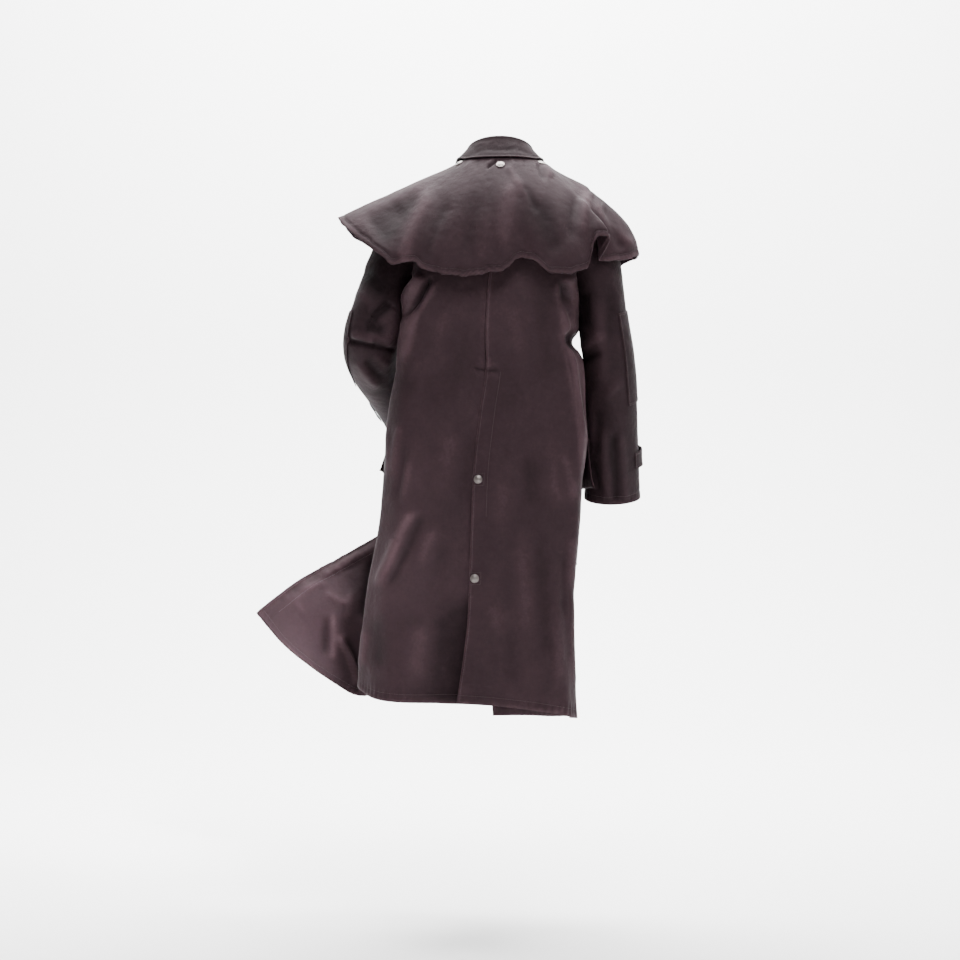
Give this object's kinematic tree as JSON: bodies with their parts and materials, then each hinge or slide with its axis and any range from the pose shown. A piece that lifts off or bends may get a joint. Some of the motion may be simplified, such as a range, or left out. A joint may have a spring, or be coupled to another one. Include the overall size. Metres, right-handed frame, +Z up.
{
  "type": "duster coat",
  "caption": "Long waxed-cotton riding coat with a shoulder cape, fold-down collar, patch pockets with flaps and a vented back, its lower left front blown back.",
  "frame": {"origin": "centre of the neckline at the height of the nape seam, where the coat is worn on the shoulders", "axes": "+Z up; the back of the coat faces +Y; the wearer's left is +X"},
  "size_m": [0.8455, 0.4329, 1.2592],
  "materials": {
    "waxed_cotton": "waxed, with a soft sheen",
    "patch_cotton": "waxed, with a soft sheen",
    "snap_metal": "satin, darkened"
  },
  "bodies": {
    "root": {"back_left": "waxed_cotton", "back_right": "waxed_cotton", "front_left": "waxed_cotton", "front_right": "waxed_cotton", "sleeve_left": "waxed_cotton", "sleeve_right": "waxed_cotton", "cape": "waxed_cotton", "collar": "waxed_cotton", "pocket_left": "patch_cotton", "pocket_right": "patch_cotton", "pocket_flap_left": "patch_cotton", "pocket_flap_right": "patch_cotton", "elbow_patch_left": "patch_cotton", "elbow_patch_right": "patch_cotton", "cuff_tab_left": "patch_cotton", "cuff_tab_right": "patch_cotton", "vent_snap_1": "snap_metal", "vent_snap_2": "snap_metal", "front_snap_1": "snap_metal", "front_snap_2": "snap_metal", "front_snap_3": "snap_metal", "front_snap_4": "snap_metal", "cape_snap_1": "snap_metal", "cape_snap_2": "snap_metal", "cape_snap_3": "snap_metal"}
  },
  "joints": []
}
